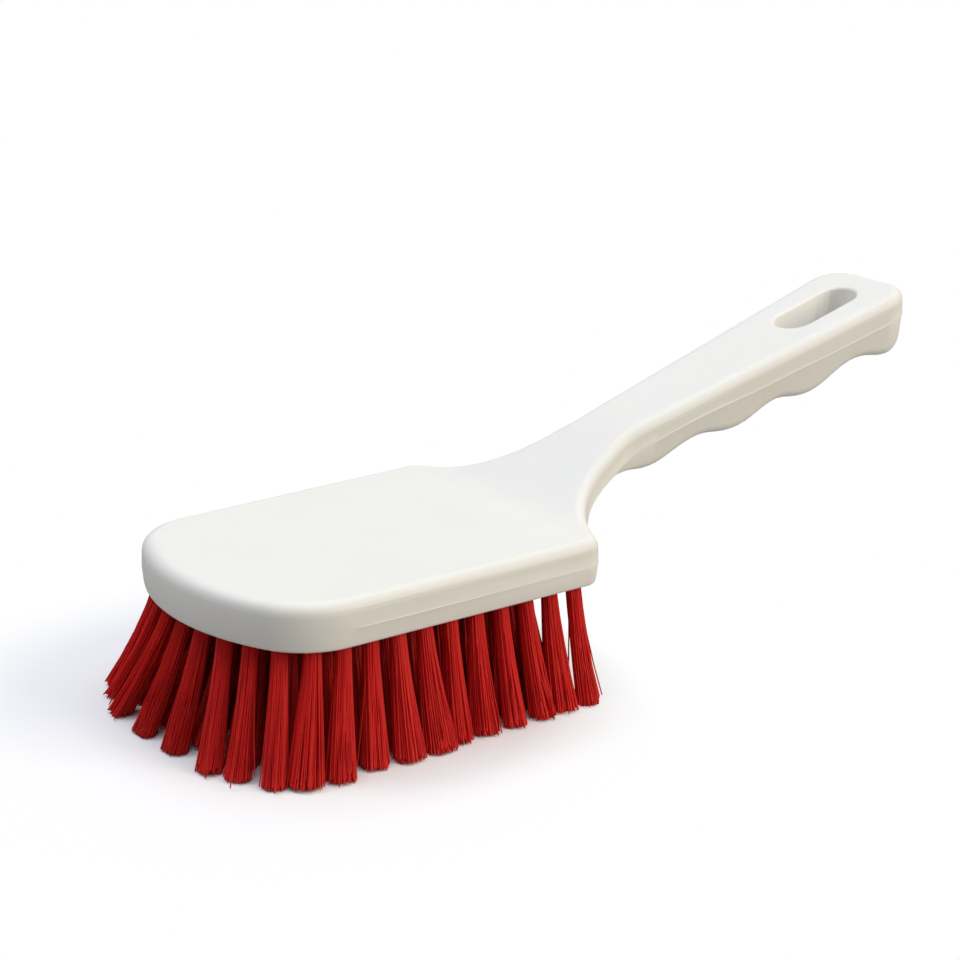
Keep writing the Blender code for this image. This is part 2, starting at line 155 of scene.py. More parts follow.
class BackSettings(bpy.types.PropertyGroup):
    """Finish of the moulded back."""

    colour: FloatVectorProperty(
        name="Plastic", description="Colour of the white plastic", subtype="COLOR",
        size=3, min=0, max=1, default=(0.865, 0.853, 0.815))
    cream: FloatVectorProperty(
        name="Cream", description="Warmer tone that shows through in soft clouds", subtype="COLOR",
        size=3, min=0, max=1, default=(0.855, 0.832, 0.765))
    gloss: FloatProperty(
        name="Roughness", description="Mean roughness of the moulded surface",
        min=0, max=1, default=0.44)
    grain: FloatProperty(
        name="Grain", description="Width of the fine grain left by the mould",
        subtype="DISTANCE", default=0.0009)
    merge: FloatProperty(
        name="Merge", description="Distance within which loose corners are joined",
        subtype="DISTANCE", default=0.000002)
    soft_angle: FloatProperty(
        name="Smooth to", description="Faces that meet at less than this are shaded as one surface",
        subtype="ANGLE", default=math.radians(32))
    ridge_edge: FloatProperty(
        name="Ridge edge", description="Corners of the parting ridge lie within this of its crest",
        subtype="DISTANCE", default=0.00045)
    ridge_share: FloatProperty(
        name="Ridge share", description="Share of the solid's parting ridge that stays proud",
        min=0, max=1, default=0.45)
    ridge_start: FloatProperty(
        name="Ridge start", description="Toe tip to where the ridge starts to show",
        subtype="DISTANCE", default=0.025)
    ridge_melt: FloatProperty(
        name="Ridge melt", description="How far its feet spread where it doesn't show",
        min=0, max=1, default=0.7)
    slot_width: FloatProperty(
        name="Slot width", description="Width within which the hanging slot's walls are looked for",
        subtype="DISTANCE", default=0.0145)
    slot_start: FloatProperty(
        name="Slot start", description="Toe tip to where they start",
        subtype="DISTANCE", default=0.215)
    slot_end: FloatProperty(
        name="Slot end", description="Toe tip to where they end",
        subtype="DISTANCE", default=0.260)
    # Colour of the painted highlight on the parting ridge's crest and on the slot's walls
    pale: FloatVectorProperty(
        name="Pale", description="Colour of the parting ridge's crest and of the slot's walls",
        subtype="COLOR", size=3, min=0, max=1, default=(0.99, 0.98, 0.95))
    lift_reach: FloatProperty(
        name="Lift reach", description="Depth under the ridge where the underside's lift is whole",
        subtype="DISTANCE", default=0.0012)
    lift_fade: FloatProperty(
        name="Lift fade", description="Height over the ridge where its lift has faded out",
        subtype="DISTANCE", default=0.0065)
    cut_start: FloatProperty(
        name="Cut start", description="Toe tip to the first cut across the handle",
        subtype="DISTANCE", default=0.161)
    cut_end: FloatProperty(
        name="Cut end", description="Toe tip to where the cuts end",
        subtype="DISTANCE", default=0.254)
    cut_pitch: FloatProperty(
        name="Cut pitch", description="Cut to cut along the handle's long faces",
        subtype="DISTANCE", default=0.004)


class BristleSettings(bpy.types.PropertyGroup):
    """Shape and colour of the bristle tufts."""

    colour: FloatVectorProperty(
        name="Bristle", description="Colour of the filaments", subtype="COLOR",
        size=3, min=0, max=1, default=(0.715, 0.014, 0.012))
    deep: FloatVectorProperty(
        name="Deep", description="Colour of the darkest filaments", subtype="COLOR",
        size=3, min=0, max=1, default=(0.52, 0.009, 0.008))
    width: FloatProperty(
        name="Filament", description="Diameter of a filament",
        subtype="DISTANCE", default=0.00043)
    root_width: FloatProperty(
        name="Root", description="Diameter of a tuft where it leaves its hole",
        subtype="DISTANCE", default=0.0045)
    sunk: FloatProperty(
        name="Sunk", description="How far the filaments are drawn into the hole",
        subtype="DISTANCE", default=0.0012)
    splay_least: FloatProperty(
        name="Least splay", description="Width of the tightest tuft at its tips beside its root",
        min=0, default=1.4)
    splay_most: FloatProperty(
        name="Most splay", description="Width of the widest tuft at its tips beside its root",
        min=0, default=1.95)
    swing: FloatProperty(
        name="Swing", description="How far the tips of a whole tuft stray from their place",
        subtype="DISTANCE", default=0.0010)
    fray: FloatProperty(
        name="Fray", description="How far the tips of single filaments stray",
        subtype="DISTANCE", default=0.0009)
    uneven: FloatProperty(
        name="Uneven", description="How much shorter the shortest filaments are",
        subtype="DISTANCE", default=0.0023)
    tilt: FloatProperty(
        name="Tilt", description="Slope of a leaning tuft's cut end: 0 level, 1 square to the tuft",
        min=0, default=0.45)
    inner_fan: FloatProperty(
        name="Inner fan", description="Lean and width of inner tufts beside those of their solids",
        min=0, default=1.25)
    sag: FloatProperty(
        name="Sag", description="Share of a tuft's lean that it has in a straight line",
        min=0, max=1, default=0.72)
    outer_count: IntProperty(
        name="Outer filaments", description="Filaments in a tuft of the outer row", default=470)
    second_count: IntProperty(
        name="Second filaments", description="Filaments in a tuft of the second row", default=290)
    inner_count: IntProperty(
        name="Inner filaments", description="Filaments in a tuft of the inner rows", default=180)
    inner_pitch: FloatProperty(
        name="Inner pitch", description="Tuft to tuft along the inner rows",
        subtype="DISTANCE", default=0.0095)
    third_offset: FloatProperty(
        name="Third row", description="Middle line to the third row",
        subtype="DISTANCE", default=0.0186)
    fourth_offset: FloatProperty(
        name="Fourth row", description="Middle line to the fourth row",
        subtype="DISTANCE", default=0.0093)
    seed: IntProperty(
        name="Seed", description="Start of the filaments' random numbers", default=7)


class StageSettings(bpy.types.PropertyGroup):
    """Floor, lamps and camera."""

    floor: FloatVectorProperty(
        name="Floor", description="Colour of the floor as the camera sees it", subtype="COLOR",
        size=3, min=0, max=1, default=(0.95, 0.94, 0.945))
    floor_bounce: FloatVectorProperty(
        name="Floor bounce", description="Colour of the light that the floor throws back",
        subtype="COLOR", size=3, min=0, max=1, default=(0.36, 0.355, 0.35))
    fade_middle: FloatProperty(
        name="Fade middle", description="Toe tip to the middle of the shadow's patch of floor",
        subtype="DISTANCE", default=0.032)
    fade_start: FloatProperty(
        name="Fade start", description="Distance from there where it starts to fade to white",
        subtype="DISTANCE", default=0.070)
    fade_end: FloatProperty(
        name="Fade end", description="Distance from there where it is plain white",
        subtype="DISTANCE", default=0.105)
    overhead: FloatProperty(
        name="Overhead", description="Power of the large lamp overhead", unit="POWER", default=15.4)
    key: FloatProperty(
        name="Key", description="Power of the lamp on the near side", unit="POWER", default=46.0)
    back: FloatProperty(
        name="Back", description="Power of the lamp behind the toe", unit="POWER", default=2.2)
    world: FloatProperty(
        name="World", description="Strength of the even light from all round", min=0, default=0.31)
    lens: FloatProperty(
        name="Lens", description="Focal length on a 36 mm sensor", unit="CAMERA", default=86.23)


# Node trees

class Number:
    """A number socket of a node tree. Sums written with it add the nodes that work them out."""

    def __init__(self, tree, socket):
        self.tree = tree
        self.socket = socket

    def sum(self, operation, first, second):
        return self.tree.number("ShaderNodeMath", {"operation": operation}, {0: first, 1: second})

    def __add__(self, other):
        return self.sum("ADD", self, other)

    def __radd__(self, other):
        return self.sum("ADD", other, self)

    def __sub__(self, other):
        return self.sum("SUBTRACT", self, other)

    def __rsub__(self, other):
        return self.sum("SUBTRACT", other, self)

    def __mul__(self, other):
        return self.sum("MULTIPLY", self, other)

    def __rmul__(self, other):
        return self.sum("MULTIPLY", other, self)

    def __truediv__(self, other):
        return self.sum("DIVIDE", self, other)

    def __pow__(self, other):
        return self.sum("POWER", self, other)


class Tree:
    """Adds nodes to the tree of a material or of a modifier."""

    def __init__(self, tree):
        self.tree = tree

    def node(self, kind, settings=None, inputs=None):
        """A node with its settings first, then the values or links of its sockets."""
        made = self.tree.nodes.new(kind)
        for name, value in (settings or {}).items():
            setattr(made, name, value)
        for name, value in (inputs or {}).items():
            self.feed(made.inputs[name], value)
        return made

    def feed(self, socket, value):
        """Give a socket a value, or link another socket to it."""
        if isinstance(value, Number):
            self.tree.links.new(value.socket, socket)
        elif isinstance(value, bpy.types.NodeSocket):
            self.tree.links.new(value, socket)
        else:
            socket.default_value = value

    def number(self, kind, settings=None, inputs=None, output=0):
        """A node's output as a number for sums."""
        return Number(self, self.node(kind, settings, inputs).outputs[output])

    def mix(self, share, first, second):
        """Colour between two others."""
        mixed = self.node("ShaderNodeMix", {"data_type": "RGBA"}, {0: share, 6: first, 7: second})
        return mixed.outputs[2]

    def stretch(self, value, low, high):
        """How far a number is from one bound to the other, from 0 to 1."""
        return self.number("ShaderNodeMapRange", {"clamp": True}, {
            "Value": value, "From Min": low, "From Max": high, "To Min": 0.0, "To Max": 1.0})

    def noise(self, place, scale, detail, roughness=0.5):
        """Cloudy noise with the given number of spots in a metre."""
        return self.number("ShaderNodeTexNoise", None, {
            "Vector": place, "Scale": scale, "Detail": detail, "Roughness": roughness})

    def vector(self, x, y, z):
        """Three numbers as one vector."""
        return self.node("ShaderNodeCombineXYZ", None, {"X": x, "Y": y, "Z": z}).outputs[0]

    def parts(self, vector):
        """A vector's three numbers, by axis."""
        split = self.node("ShaderNodeSeparateXYZ", None, {"Vector": vector})
        return {axis: Number(self, split.outputs[axis]) for axis in "XYZ"}


def new_material(name):
    """An empty material, its tree and its shader."""
    material = bpy.data.materials.new(name)
    material.use_nodes = True
    tree = Tree(material.node_tree)
    return material, tree, material.node_tree.nodes["Principled BSDF"]


def opaque(colour):
    """A colour with full alpha."""
    return (*colour, 1.0)


# Moulded back

def plastic_material(settings):
    """White moulded plastic: soft clouds of tone, a fine grain, patches of other gloss, and a
    painted highlight on the parting ridge's crest and the slot's walls.
    """
    material, tree, shader = new_material("white_moulded_plastic")
    place = tree.node("ShaderNodeTexCoord").outputs["Object"]
    clouds = tree.noise(place, 26.0, 3.0)
    patches = tree.noise(place, 70.0, 4.0)
    grain = tree.noise(place, 1 / settings.grain, 2.0, 0.6)
    speck = tree.noise(place, 420.0, 1.0)
    cloud_tone, speck_tone = 0.45, 0.12
    tone = tree.stretch(clouds, 0.35, 0.7) * cloud_tone
    tone = tone + tree.stretch(speck, 0.60, 0.72) * speck_tone
    body = tree.mix(tone, opaque(settings.colour), opaque(settings.cream))
    # Painted highlight: the parting ridge's crest and the slot's walls are lightened toward the pale
    # colour
    pale = tree.number("ShaderNodeAttribute", {"attribute_name": "pale"}, None, 2)
    tree.feed(shader.inputs["Base Color"], tree.mix(pale, body, opaque(settings.pale)))
    patch_gloss, grain_gloss = 0.16, 0.10
    gloss = settings.gloss + (patches - 0.5) * patch_gloss + (grain - 0.5) * grain_gloss
    tree.feed(shader.inputs["Roughness"], gloss)
    grain_height, patch_height = 0.6, 2.2
    height = grain * grain_height + patches * patch_height
    bump = tree.node("ShaderNodeBump", None, {
        "Strength": 0.25, "Distance": 0.00006, "Height": height})
    tree.feed(shader.inputs["Normal"], bump.outputs["Normal"])
    shader.inputs["IOR"].default_value = 1.49
    shader.inputs["Specular IOR Level"].default_value = 0.28
    shader.inputs["Subsurface Weight"].default_value = 0.12
    shader.inputs["Subsurface Radius"].default_value = (1.0, 0.85, 0.6)
    shader.inputs["Subsurface Scale"].default_value = 0.003
    return material


def apply_modifiers(thing):
    """Turn the object's mesh with its modifiers into plain data."""
    graph = bpy.context.evaluated_depsgraph_get()
    mesh = bpy.data.meshes.new_from_object(
        thing.evaluated_get(graph), preserve_all_data_layers=True, depsgraph=graph)
    thing.modifiers.clear()
    old = thing.data
    thing.data = mesh
    if not old.users:
        bpy.data.meshes.remove(old)


def linked(name, mesh):
    """A new object of the scene."""
    made = bpy.data.objects.new(name, mesh)
    bpy.context.scene.collection.objects.link(made)
    return made


def find_ridge(mesh, settings):
    """Corners along the crest of the parting ridge, each with the feet over and under it."""
    least_rise = settings.ridge_edge / 4
    least_proud = settings.ridge_edge / 2
    ridge = {}
    for vert in mesh.verts:
        if abs(vert.co.y) < settings.slot_width / 2 and vert.co.x > TOE + settings.slot_start:
            continue
        near = [(edge.calc_length(), edge.other_vert(vert)) for edge in vert.link_edges]
        near = [(length, foot) for length, foot in near if length < settings.ridge_edge]
        feet = []
        for way in (1, -1):
            side = [(length, foot) for length, foot in near
                    if (foot.co.z - vert.co.z) * way > least_rise]
            if side:
                feet.append(min(side, key=lambda pair: pair[0])[1])
        if len(feet) < 2:
            continue
        wall = (feet[0].co + feet[1].co) / 2
        if (vert.co - wall).length > least_proud:
            ridge[vert] = feet
    return ridge


def smooth(share):
    """Ease a share from 0 to 1."""
    share = min(max(share, 0), 1)
    return share * share * (3 - 2 * share)


def eased(table, place, column):
    """A column of a table at a place between its rows."""
    for first, second in zip(table, table[1:]):
        if first[0] <= place <= second[0]:
            share = smooth((place - first[0]) / (second[0] - first[0]))
            return first[column] + (second[column] - first[column]) * share
    return table[-1][column]


def cut_walls(mesh, settings):
    """Cut the long faces across: the block's where the ridge comes to show, and the handle's all
    along, so that they can bend."""
    places = [settings.ridge_start * (1 + k / RIDGE_CUTS) for k in range(1, RIDGE_CUTS + 1)]
    place = settings.cut_start
    while place < settings.cut_end:
        places.append(place)
        place += settings.cut_pitch
    for place in places:
        bmesh.ops.bisect_plane(
            mesh, geom=mesh.verts[:] + mesh.edges[:] + mesh.faces[:], dist=settings.merge,
            plane_co=(TOE + place, 0, 0), plane_no=(1, 0, 0))
    bmesh.ops.triangulate(mesh, faces=mesh.faces)


def fit_handle(mesh, ridge, settings):
    """Bend the handle's parting ridge and finger grips to where the photograph shows them."""
    line = sorted((crest.co.x, crest.co.z) for crest in ridge)
    for vert in mesh.verts:
        if vert.co.x < TOE + HANDLE_LIFTS[0][0] / MILLIMETRES:
            continue
        k = min(max(bisect.bisect(line, (vert.co.x, 0)), 1), len(line) - 1)
        (x0, z0), (x1, z1) = line[k - 1:k + 1]
        share = min(max((vert.co.x - x0) / max(x1 - x0, settings.merge), 0), 1)
        over = vert.co.z - z0 - (z1 - z0) * share
        along = (vert.co.x - TOE) * MILLIMETRES
        lift, under = eased(HANDLE_LIFTS, along, 1), eased(HANDLE_LIFTS, along, 2)
        if over > 0:
            lift *= smooth(1 - over / settings.lift_fade)
        else:
            lift += (under - lift) * smooth((-over - settings.ridge_edge) / settings.lift_reach)
        vert.co.z += lift / MILLIMETRES


def lower_and_highlight_ridge(ridge, painted_highlight, settings):
    """Lower the parting ridge, melt it into the wall round the toe, and paint a highlight on what
    shows of it.
    """
    banded = {foot for feet in ridge.values() for foot in feet} | set(ridge)
    for crest, feet in ridge.items():
        seen = smooth((crest.co.x - TOE - settings.ridge_start) / settings.ridge_start)
        wall = (feet[0].co + feet[1].co) / 2
        crest.co = wall.lerp(crest.co, settings.ridge_share * seen)
        for foot in feet:
            way = foot.co.z - crest.co.z
            beyond = [edge.other_vert(foot) for edge in foot.link_edges]
            beyond = [vert for vert in beyond
                      if vert not in banded and (vert.co.z - foot.co.z) * way > 0]
            if beyond:
                nearest = min(beyond, key=lambda vert: (vert.co.xy - foot.co.xy).length)
                foot.co = foot.co.lerp(nearest.co, settings.ridge_melt * (1 - seen))
        # Painted highlight on the crest and, a little less, on its feet
        for vert, share in ((crest, 1.0), (feet[0], 0.8), (feet[1], 0.8)):
            for corner in vert.link_loops:
                corner[painted_highlight] = seen * share


def paint_slot_highlight(mesh, painted_highlight, settings):
    """Paint a highlight on the hanging slot's walls, standing in for the light that comes through
    the thin plastic.
    """
    mesh.normal_update()
    for face in mesh.faces:
        middle = face.calc_center_median()
        within = (abs(middle.y) < settings.slot_width / 2
                  and settings.slot_start < middle.x - TOE < settings.slot_end)
        if within and face.normal.x > SLOT_TURN:
            for corner in face.loops:
                corner[painted_highlight] = smooth(2 - 2 * abs(face.normal.z))


class HANDBRUSH_OT_back(bpy.types.Operator):
    """Finish the moulded back with smooth shading and white plastic"""

    bl_idname = "hand_brush.back"
    bl_label = "Moulded back"

    def execute(self, context):
        settings = context.scene.hand_brush_back
        mesh = bmesh.new()
        mesh.from_mesh(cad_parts["brush_back"].data)
        bmesh.ops.remove_doubles(mesh, verts=mesh.verts, dist=settings.merge)
        # Layer that holds the painted highlight of the ridge's crest and the slot's walls
        painted_highlight = mesh.loops.layers.float.new("pale")
        cut_walls(mesh, settings)
        ridge = find_ridge(mesh, settings)
        fit_handle(mesh, ridge, settings)
        lower_and_highlight_ridge(ridge, painted_highlight, settings)
        paint_slot_highlight(mesh, painted_highlight, settings)
        data = bpy.data.meshes.new("moulded_back")
        mesh.to_mesh(data)
        mesh.free()
        data.shade_smooth()
        data.set_sharp_from_angle(angle=settings.soft_angle)
        back = linked("moulded_back", data)
        even = back.modifiers.new("Even shading", "WEIGHTED_NORMAL")
        even.keep_sharp = True
        apply_modifiers(back)
        back.data.materials.clear()
        back.data.materials.append(plastic_material(settings))
        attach(back, "root")
        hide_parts("brush_back")
        return {"FINISHED"}


# Bristle tufts

def bristle_material(settings):
    """Red filaments: each has a tone of its own, and all are a little paler at their cut tips."""
    material, tree, shader = new_material("red_bristle_filament")
    strand = tree.number("ShaderNodeAttribute", {"attribute_name": "strand"}, None, 2)
    along = tree.number("ShaderNodeAttribute", {"attribute_name": "along"}, None, 2)
    place = tree.node("ShaderNodeTexCoord").outputs["Object"]
    streak = tree.noise(place, 900.0, 2.0)
    strand_tone, streak_tone = 0.6, 0.2
    shade = (1 - strand) * (1 - strand) * strand_tone + (streak - 0.5) * streak_tone
    shade = tree.stretch(shade, 0.0, 1.0)
    body = tree.mix(shade, opaque(settings.colour), opaque(settings.deep))
    pale_gain, pale_lift, pale_start, pale_share = 1.25, 0.015, 0.9, 0.5
    pale = opaque([min(1, part * pale_gain + pale_lift) for part in settings.colour])
    cut_end = tree.stretch(along, pale_start, 1.0) * pale_share
    tree.feed(shader.inputs["Base Color"], tree.mix(cut_end, body, pale))
    mean_gloss, streak_gloss = 0.50, 0.25
    tree.feed(shader.inputs["Roughness"], mean_gloss + (streak - 0.5) * streak_gloss)
    shader.inputs["IOR"].default_value = 1.5
    shader.inputs["Specular IOR Level"].default_value = 0.2
    return material


def tuft_axis(name):
    """Mouth of a packed tuft's hole and the travel of its tips, read from the replaced solid."""
    corners = [vert.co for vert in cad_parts[name].data.vertices]
    low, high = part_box(name)
    top = [corner for corner in corners if corner.z > high.z - END_REACH]
    tip = [corner for corner in corners if corner.z < low.z + END_REACH]
    top = sum(top, Vector()) / len(top)
    tip = sum(tip, Vector()) / len(tip)
    share = (top.z - UNDERSIDE) / top.z
    x, y = (start + (end - start) * share for start, end in zip(top.xy, tip.xy))
    return Vector((x, y, UNDERSIDE)), (tip - top) * (UNDERSIDE / top.z)


def inner_tufts(settings):
    """Mouths and leans of the inner rows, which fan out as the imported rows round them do."""
    first = TOE + INNER_START
    rows = [(0.0, first, 1)]
    for side in (-1, 1):
        rows.append((side * settings.third_offset, first + THIRD_SHIFT, THIRD_TUFTS))
        rows.append((side * settings.fourth_offset, first, FOURTH_TUFTS))
    packed = [tuft_axis(name) for name in ROWS["second"] + ROWS["middle"]]
    tufts = []
    for y, start, count in rows:
        for k in range(count):
            mouth = Vector((start + k * settings.inner_pitch, y, UNDERSIDE))
            near = [((mouth - other).length ** GUIDE_POWER, lean) for other, lean in packed]
            total = sum(weight for weight, _ in near)
            lean = sum((lean * weight for weight, lean in near), Vector()) / total
            tufts.append((mouth, lean))
    return tufts


def let_stray(tufts, settings, seed, shown=None, fan=1.0):
    """Give each tuft a stray and a width: the photograph's where it shows them, or random ones."""
    chance = random.Random(seed)
    stand = []
    for number, (mouth, lean) in enumerate(tufts, 1):
        stray = Vector((chance.uniform(-1, 1), chance.uniform(-1, 1), 0)) * settings.swing
        width = chance.uniform(settings.splay_least, settings.splay_most)
        if shown and number in shown:
            along, across, width = shown[number]
            stray = Vector((along, across, 0)) / MILLIMETRES
        stand.append((mouth, lean * fan + stray, width * fan))
    return stand


def bristle_tree():
    """Modifier tree that grows filaments from points at the mouths of the holes."""
    group = bpy.data.node_groups.new("bristle_tufts", "GeometryNodeTree")
    face = group.interface
    face.new_socket("Geometry", in_out="INPUT", socket_type="NodeSocketGeometry")
    counts = ("Filaments", "Seed")
    measures = ("Filament radius", "Root radius", "Mouth height", "Sunk", "Fray", "Uneven", "Tilt",
                "Sag")
    for name in counts:
        face.new_socket(name, in_out="INPUT", socket_type="NodeSocketInt")
    for name in measures:
        face.new_socket(name, in_out="INPUT", socket_type="NodeSocketFloat")
    face.new_socket("Material", in_out="INPUT", socket_type="NodeSocketMaterial")
    face.new_socket("Geometry", in_out="OUTPUT", socket_type="NodeSocketGeometry")

    tree = Tree(group)
    given = tree.node("NodeGroupInput").outputs
    size = {name: Number(tree, given[name]) for name in counts + measures}

    def named(name, kind="FLOAT"):
        return tree.number("GeometryNodeInputNamedAttribute", {"data_type": kind}, {"Name": name})

    def named_parts(name):
        return tree.parts(named(name, "FLOAT_VECTOR"))

    def keep(geometry, name, value, kind="FLOAT"):
        return tree.node("GeometryNodeStoreNamedAttribute", {"data_type": kind}, {
            "Geometry": geometry, "Name": name, "Value": value}).outputs[0]

    def chance(number):
        index = tree.node("GeometryNodeInputIndex").outputs[0]
        return tree.number("FunctionNodeRandomValue", {"data_type": "FLOAT"}, {
            2: 0.0, 3: 1.0, "ID": index, "Seed": size["Seed"] + number}, 1)

    # One point for each filament, spread over its tuft like the seeds of a sunflower
    many = tree.node("GeometryNodeDuplicateElements", {"domain": "POINT"}, {
        "Geometry": given["Geometry"], "Amount": size["Filaments"]})
    order = Number(tree, many.outputs["Duplicate Index"])
    reach = ((order + 0.5) / size["Filaments"]) ** SPREAD_POWER
    turn = order * GOLDEN_TURN + named("tuft") * TUFT_TURN + chance(1) * CHANCE_TURN
    across = reach * tree.number("ShaderNodeMath", {"operation": "COSINE"}, {0: turn})
    down = reach * tree.number("ShaderNodeMath", {"operation": "SINE"}, {0: turn})
    place = tree.vector(across, down, reach)
    whim = tree.vector(chance(2) - 0.5, chance(3) - 0.5, chance(4))
    points = keep(many.outputs["Geometry"], "place", place, "FLOAT_VECTOR")
    points = keep(points, "whim", whim, "FLOAT_VECTOR")
    points = keep(points, "strand", chance(5))
    points = keep(points, "wild", 1 + WILD_REACH * chance(6) ** WILD_POWER)

    # One short line at each point, as plain curves
    line = tree.node("GeometryNodeCurvePrimitiveLine", None, {
        "Start": (0, 0, 0), "End": (0, 0, 0.001)})
    line = tree.node("GeometryNodeResampleCurve", None, {
        "Curve": line.outputs[0], "Count": LINE_POINTS})
    lines = tree.node("GeometryNodeInstanceOnPoints", None, {
        "Points": points, "Instance": line.outputs[0]})
    lines = tree.node("GeometryNodeRealizeInstances", None, {"Geometry": lines.outputs[0]})
    along = tree.number("GeometryNodeSplineParameter")
    lines = keep(lines.outputs[0], "along", along)

    # Each line is drawn out from its hole to its tip
    mouth = tree.parts(tree.number("GeometryNodeInputPosition"))
    lean, place, whim = named_parts("lean"), named_parts("place"), named_parts("whim")
    height = size["Mouth height"]
    outward = sum(lean[axis] * place[axis] for axis in "XY")
    tilt = outward * named("splay") * size["Root radius"] * size["Tilt"] / height
    tilt = tree.number("ShaderNodeMath", {"operation": "MAXIMUM"}, {0: tilt, 1: 0.0})
    tip = whim["Z"] ** SHORT_POWER * size["Uneven"] + tilt + TIP_HEIGHT
    z = (height + size["Sunk"]) * (1 - along) + tip * along
    depth = (height - z) / height
    travel = depth * (size["Sag"] + (1 - size["Sag"]) * depth)
    outside = tree.number("ShaderNodeMath", {"operation": "MAXIMUM"}, {0: depth, 1: 0.0})
    spread = size["Root radius"] * (1 + (named("splay") - 1) * outside)
    stray = size["Fray"] * named("wild") * outside ** STRAY_POWER
    x, y = (mouth[axis] + lean[axis] * travel + place[axis] * spread + whim[axis] * 2.0 * stray
            for axis in "XY")
    drawn = tree.node("GeometryNodeSetPosition", None, {
        "Geometry": lines, "Position": tree.vector(x, y, z)})

    # Three-sided filaments
    ring = tree.node("GeometryNodeCurvePrimitiveCircle", None, {
        "Resolution": 3, "Radius": size["Filament radius"]})
    skin = tree.node("GeometryNodeCurveToMesh", None, {
        "Curve": drawn.outputs[0], "Profile Curve": ring.outputs[0], "Fill Caps": True})
    skin = tree.node("GeometryNodeSetShadeSmooth", None, {
        "Geometry": skin.outputs[0], "Shade Smooth": True})
    skin = tree.node("GeometryNodeRealizeInstances", None, {"Geometry": skin.outputs[0]})
    skin = tree.node("GeometryNodeSetMaterial", None, {
        "Geometry": skin.outputs[0], "Material": given["Material"]})
    tree.node("NodeGroupOutput", None, {"Geometry": skin.outputs[0]})
    return group


def keep_in_box(piece):
    """Hold stray filament tips within the solids' own box."""
    low, high = SOLID_BOX
    for vert in piece.data.vertices:
        for axis in range(3):
            vert.co[axis] = min(max(vert.co[axis], low[axis]), high[axis])


def grow_bristles(name, tufts, filaments, settings, replaced):
    """One piece of whole tufts: points at the holes' mouths and a modifier that grows from them."""
    mesh = bpy.data.meshes.new(name)
    mesh.from_pydata([mouth for mouth, _, _ in tufts], [], [])
    for kind, layer in (("FLOAT_VECTOR", "lean"), ("FLOAT", "splay"), ("FLOAT", "tuft")):
        mesh.attributes.new(layer, kind, "POINT")
    for k, (_, lean, width) in enumerate(tufts):
        mesh.attributes["lean"].data[k].vector = (lean.x, lean.y, 0)
        mesh.attributes["splay"].data[k].value = width
        mesh.attributes["tuft"].data[k].value = k
    piece = linked(name, mesh)
    group = bpy.data.node_groups.get("bristle_tufts") or bristle_tree()
    grow = piece.modifiers.new("Bristles", "NODES")
    grow.node_group = group
    material = bpy.data.materials.get("red_bristle_filament") or bristle_material(settings)
    values = {
        "Filaments": filaments, "Seed": settings.seed, "Filament radius": settings.width / 2,
        "Root radius": (settings.root_width - settings.width) / 2, "Mouth height": UNDERSIDE,
        "Sunk": settings.sunk, "Fray": settings.fray, "Uneven": settings.uneven,
        "Tilt": settings.tilt, "Sag": settings.sag, "Material": material}
    for socket in group.interface.items_tree:
        if socket.name in values:
            grow[socket.identifier] = values[socket.name]
    apply_modifiers(piece)
    for extra in ("lean", "splay", "tuft", "place", "whim", "wild"):
        piece.data.attributes.remove(piece.data.attributes[extra])
    keep_in_box(piece)
    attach(piece, "root")
    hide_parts(*replaced)


class HANDBRUSH_OT_outer_tufts(bpy.types.Operator):
    """Grow the bristles of the outer row, one piece for each side of the brush"""

    bl_idname = "hand_brush.outer_tufts"
    bl_label = "Outer row of tufts"

    def execute(self, context):
        settings = context.scene.hand_brush_bristles
        nodes = ROWS["outer"]
        tufts = [tuft_axis(node) for node in nodes]
        tufts = let_stray(tufts, settings, STRAY_SEEDS["outer"], SHOWN)
        half = len(nodes) // 2
        sides = {"outer_bristles_left": slice(None, half),
                 "outer_bristles_right": slice(half, None)}
        for name, side in sides.items():
            grow_bristles(name, tufts[side], settings.outer_count, settings, nodes[side])
        return {"FINISHED"}


class HANDBRUSH_OT_second_tufts(bpy.types.Operator):
    """Grow the bristles of the second row"""

    bl_idname = "hand_brush.second_tufts"
    bl_label = "Second row of tufts"

    def execute(self, context):
        settings = context.scene.hand_brush_bristles
        nodes = ROWS["second"]
        tufts = [tuft_axis(node) for node in nodes]
        tufts = let_stray(tufts, settings, STRAY_SEEDS["second"], fan=settings.inner_fan)
        grow_bristles("second_bristles", tufts, settings.second_count, settings, nodes)
        return {"FINISHED"}


class HANDBRUSH_OT_inner_tufts(bpy.types.Operator):
    """Grow the bristles of the middle row and of the rows between it and the second row"""

    bl_idname = "hand_brush.inner_tufts"
    bl_label = "Inner rows of tufts"

    def execute(self, context):
        settings = context.scene.hand_brush_bristles
        nodes = ROWS["middle"]
        tufts = [tuft_axis(node) for node in nodes] + inner_tufts(settings)
        tufts = let_stray(tufts, settings, STRAY_SEEDS["inner"], fan=settings.inner_fan)
        grow_bristles("inner_bristles", tufts, settings.inner_count, settings, nodes)
        return {"FINISHED"}


# Studio

